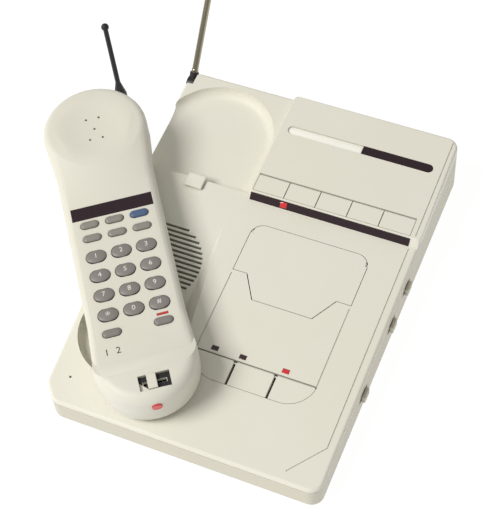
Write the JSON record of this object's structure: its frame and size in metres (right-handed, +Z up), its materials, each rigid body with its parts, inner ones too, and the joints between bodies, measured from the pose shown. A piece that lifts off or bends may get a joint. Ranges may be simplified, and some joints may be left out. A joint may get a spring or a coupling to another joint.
{
  "type": "cordless telephone",
  "caption": "Cordless telephone: wedge base with tape answering machine, key row, folding aerial and cradle, and a keypad handset resting across it.",
  "frame": {"origin": "on the table under the middle of the base station", "axes": "+X to the right of the base, +Y to its rear, +Z up"},
  "size_m": [0.2602, 0.34, 0.1382],
  "materials": {
    "ivory_plastic": "satin moulded",
    "beige_plastic": "satin moulded",
    "handset_plastic": "satin moulded",
    "rubber": "matte",
    "steel": "drawn",
    "bright_metal": "polished",
    "contact_metal": "plated",
    "circuit_board": "lacquered",
    "black_plastic": "satin",
    "dark_window": "gloss",
    "smoky_plastic": "gloss",
    "red_lens": "gloss",
    "battery_wrap": "film",
    "dark_key": "satin",
    "soft_key": "satin",
    "blue_key": "satin"
  },
  "bodies": {
    "base": {"base_bottom_case": "beige_plastic", "base_top_case": "ivory_plastic", "rubber_feet": "rubber", "case_screws": "steel", "main_board": "circuit_board", "loudspeaker": "black_plastic", "dark_windows": "dark_window", "status_lenses": "red_lens", "charge_contacts": "contact_metal", "rear_sockets": "black_plastic", "tape_deck": "black_plastic", "micro_cassette": "smoky_plastic", "hinge_rods": "steel"},
    "tape_lid": {"tape_lid": "ivory_plastic"},
    "aerial": {"aerial_knuckle": "black_plastic", "aerial_tube": "bright_metal"},
    "aerial_tip": {"aerial_tip": "bright_metal"},
    "handset": {"handset_front": "handset_plastic", "handset_back": "handset_plastic", "battery_pack": "battery_wrap", "handset_board": "circuit_board", "earpiece": "black_plastic", "handset_band": "dark_window", "handset_lens": "red_lens", "handset_aerial": "black_plastic", "handset_contacts": "contact_metal"},
    "battery_cover": {"battery_cover": "handset_plastic"},
    "talk_switch": {"talk_switch": "handset_plastic"},
    "hook_tab": {"hook_tab": "ivory_plastic"},
    "message_key_1": {"message_key_1": "ivory_plastic"},
    "message_key_2": {"message_key_2": "ivory_plastic"},
    "message_key_3": {"message_key_3": "ivory_plastic"},
    "message_key_4": {"message_key_4": "ivory_plastic"},
    "message_key_5": {"message_key_5": "ivory_plastic"},
    "paddle_1": {"paddle_1": "ivory_plastic"},
    "paddle_2": {"paddle_2": "ivory_plastic"},
    "paddle_3": {"paddle_3": "ivory_plastic"},
    "side_knob_1": {"side_knob_1": "beige_plastic"},
    "side_knob_2": {"side_knob_2": "beige_plastic"},
    "side_knob_3": {"side_knob_3": "beige_plastic"},
    "function_key_1": {"function_key_1": "soft_key"},
    "function_key_2": {"function_key_2": "soft_key"},
    "function_key_3": {"function_key_3": "blue_key"},
    "function_key_4": {"function_key_4": "soft_key"},
    "function_key_5": {"function_key_5": "soft_key"},
    "function_key_6": {"function_key_6": "soft_key"},
    "digit_key_1": {"digit_key_1": "dark_key"},
    "digit_key_2": {"digit_key_2": "dark_key"},
    "digit_key_3": {"digit_key_3": "dark_key"},
    "digit_key_4": {"digit_key_4": "dark_key"},
    "digit_key_5": {"digit_key_5": "dark_key"},
    "digit_key_6": {"digit_key_6": "dark_key"},
    "digit_key_7": {"digit_key_7": "dark_key"},
    "digit_key_8": {"digit_key_8": "dark_key"},
    "digit_key_9": {"digit_key_9": "dark_key"},
    "digit_key_star": {"digit_key_star": "dark_key"},
    "digit_key_0": {"digit_key_0": "dark_key"},
    "digit_key_hash": {"digit_key_hash": "dark_key"},
    "lower_key_1": {"lower_key_1": "dark_key"},
    "lower_key_2": {"lower_key_2": "dark_key"}
  },
  "joints": [
    {"name": "tape_lid_open", "type": "hinge", "parent": "base", "child": "tape_lid", "pos_m": [0.03125, 0.02305, 0.02793], "axis": [-1, 0, 0], "range_deg": [0, 80]},
    {"name": "handset_lift", "type": "slide", "parent": "base", "child": "handset", "axis": [0, -0.0619, 0.9981], "range_m": [0, 0.12]},
    {"name": "aerial_fold", "type": "hinge", "parent": "base", "child": "aerial", "pos_m": [-0.09425, 0.1245, 0.0285], "axis": [-1, 0, 0], "range_deg": [-38, 52]},
    {"name": "aerial_extend", "type": "slide", "parent": "aerial", "child": "aerial_tip", "axis": [0, 0.6157, 0.788], "range_m": [0, 0.108]},
    {"name": "battery_cover_slide", "type": "slide", "parent": "handset", "child": "battery_cover", "axis": [0.5807, -0.8126, -0.0504], "range_m": [0, 0.092]},
    {"name": "talk_switch_slide", "type": "slide", "parent": "handset", "child": "talk_switch", "axis": [0.8141, 0.5796, 0.0359], "range_m": [-0.0044, 0.0072]},
    {"name": "hook_tab_pull", "type": "slide", "parent": "base", "child": "hook_tab", "axis": [0, -0.0619, 0.9981], "range_m": [0, 0.009]},
    {"name": "side_knob_1_slide", "type": "slide", "parent": "base", "child": "side_knob_1", "axis": [0, 1, 0], "range_m": [-0.0035, 0.0035]},
    {"name": "side_knob_2_slide", "type": "slide", "parent": "base", "child": "side_knob_2", "axis": [0, 1, 0], "range_m": [-0.0035, 0.0035]},
    {"name": "side_knob_3_slide", "type": "slide", "parent": "base", "child": "side_knob_3", "axis": [0, 1, 0], "range_m": [-0.0035, 0.0035]},
    {"name": "paddle_1_press", "type": "hinge", "parent": "base", "child": "paddle_1", "pos_m": [0.00492, -0.06768, 0.0223], "axis": [1, 0, 0], "range_deg": [0, 4], "stiffness_Nm_per_rad": 0.25},
    {"name": "paddle_2_press", "type": "hinge", "parent": "base", "child": "paddle_2", "pos_m": [0.03125, -0.06768, 0.0223], "axis": [1, 0, 0], "range_deg": [0, 4], "stiffness_Nm_per_rad": 0.25},
    {"name": "paddle_3_press", "type": "hinge", "parent": "base", "child": "paddle_3", "pos_m": [0.05758, -0.06768, 0.0223], "axis": [1, 0, 0], "range_deg": [0, 4], "stiffness_Nm_per_rad": 0.25},
    {"name": "message_key_1_press", "type": "hinge", "parent": "base", "child": "message_key_1", "pos_m": [-0.0071, 0.0607, 0.03477], "axis": [1, 0, 0], "range_deg": [0, 5], "stiffness_Nm_per_rad": 0.17},
    {"name": "message_key_2_press", "type": "hinge", "parent": "base", "child": "message_key_2", "pos_m": [0.0142, 0.0607, 0.03477], "axis": [1, 0, 0], "range_deg": [0, 5], "stiffness_Nm_per_rad": 0.17},
    {"name": "message_key_3_press", "type": "hinge", "parent": "base", "child": "message_key_3", "pos_m": [0.0355, 0.0607, 0.03477], "axis": [1, 0, 0], "range_deg": [0, 5], "stiffness_Nm_per_rad": 0.17},
    {"name": "message_key_4_press", "type": "hinge", "parent": "base", "child": "message_key_4", "pos_m": [0.0568, 0.0607, 0.03477], "axis": [1, 0, 0], "range_deg": [0, 5], "stiffness_Nm_per_rad": 0.17},
    {"name": "message_key_5_press", "type": "hinge", "parent": "base", "child": "message_key_5", "pos_m": [0.0781, 0.0607, 0.03477], "axis": [1, 0, 0], "range_deg": [0, 5], "stiffness_Nm_per_rad": 0.17},
    {"name": "function_key_1_press", "type": "slide", "parent": "handset", "child": "function_key_1", "axis": [0, 0.0619, -0.9981], "range_m": [0, 0.0009], "stiffness_N_per_m": 1100},
    {"name": "function_key_2_press", "type": "slide", "parent": "handset", "child": "function_key_2", "axis": [0, 0.0619, -0.9981], "range_m": [0, 0.0009], "stiffness_N_per_m": 1100},
    {"name": "function_key_3_press", "type": "slide", "parent": "handset", "child": "function_key_3", "axis": [0, 0.0619, -0.9981], "range_m": [0, 0.0009], "stiffness_N_per_m": 1100},
    {"name": "function_key_4_press", "type": "slide", "parent": "handset", "child": "function_key_4", "axis": [0, 0.0619, -0.9981], "range_m": [0, 0.0009], "stiffness_N_per_m": 1100},
    {"name": "function_key_5_press", "type": "slide", "parent": "handset", "child": "function_key_5", "axis": [0, 0.0619, -0.9981], "range_m": [0, 0.0009], "stiffness_N_per_m": 1100},
    {"name": "function_key_6_press", "type": "slide", "parent": "handset", "child": "function_key_6", "axis": [0, 0.0619, -0.9981], "range_m": [0, 0.0009], "stiffness_N_per_m": 1100},
    {"name": "digit_key_1_press", "type": "slide", "parent": "handset", "child": "digit_key_1", "axis": [0, 0.0619, -0.9981], "range_m": [0, 0.0009], "stiffness_N_per_m": 1100},
    {"name": "digit_key_2_press", "type": "slide", "parent": "handset", "child": "digit_key_2", "axis": [0, 0.0619, -0.9981], "range_m": [0, 0.0009], "stiffness_N_per_m": 1100},
    {"name": "digit_key_3_press", "type": "slide", "parent": "handset", "child": "digit_key_3", "axis": [0, 0.0619, -0.9981], "range_m": [0, 0.0009], "stiffness_N_per_m": 1100},
    {"name": "digit_key_4_press", "type": "slide", "parent": "handset", "child": "digit_key_4", "axis": [0, 0.0619, -0.9981], "range_m": [0, 0.0009], "stiffness_N_per_m": 1100},
    {"name": "digit_key_5_press", "type": "slide", "parent": "handset", "child": "digit_key_5", "axis": [0, 0.0619, -0.9981], "range_m": [0, 0.0009], "stiffness_N_per_m": 1100},
    {"name": "digit_key_6_press", "type": "slide", "parent": "handset", "child": "digit_key_6", "axis": [0, 0.0619, -0.9981], "range_m": [0, 0.0009], "stiffness_N_per_m": 1100},
    {"name": "digit_key_7_press", "type": "slide", "parent": "handset", "child": "digit_key_7", "axis": [0, 0.0619, -0.9981], "range_m": [0, 0.0009], "stiffness_N_per_m": 1100},
    {"name": "digit_key_8_press", "type": "slide", "parent": "handset", "child": "digit_key_8", "axis": [0, 0.0619, -0.9981], "range_m": [0, 0.0009], "stiffness_N_per_m": 1100},
    {"name": "digit_key_9_press", "type": "slide", "parent": "handset", "child": "digit_key_9", "axis": [0, 0.0619, -0.9981], "range_m": [0, 0.0009], "stiffness_N_per_m": 1100},
    {"name": "digit_key_star_press", "type": "slide", "parent": "handset", "child": "digit_key_star", "axis": [0, 0.0619, -0.9981], "range_m": [0, 0.0009], "stiffness_N_per_m": 1100},
    {"name": "digit_key_0_press", "type": "slide", "parent": "handset", "child": "digit_key_0", "axis": [0, 0.0619, -0.9981], "range_m": [0, 0.0009], "stiffness_N_per_m": 1100},
    {"name": "digit_key_hash_press", "type": "slide", "parent": "handset", "child": "digit_key_hash", "axis": [0, 0.0619, -0.9981], "range_m": [0, 0.0009], "stiffness_N_per_m": 1100},
    {"name": "lower_key_1_press", "type": "slide", "parent": "handset", "child": "lower_key_1", "axis": [0, 0.0619, -0.9981], "range_m": [0, 0.0009], "stiffness_N_per_m": 1100},
    {"name": "lower_key_2_press", "type": "slide", "parent": "handset", "child": "lower_key_2", "axis": [0, 0.0619, -0.9981], "range_m": [0, 0.0009], "stiffness_N_per_m": 1100}
  ]
}
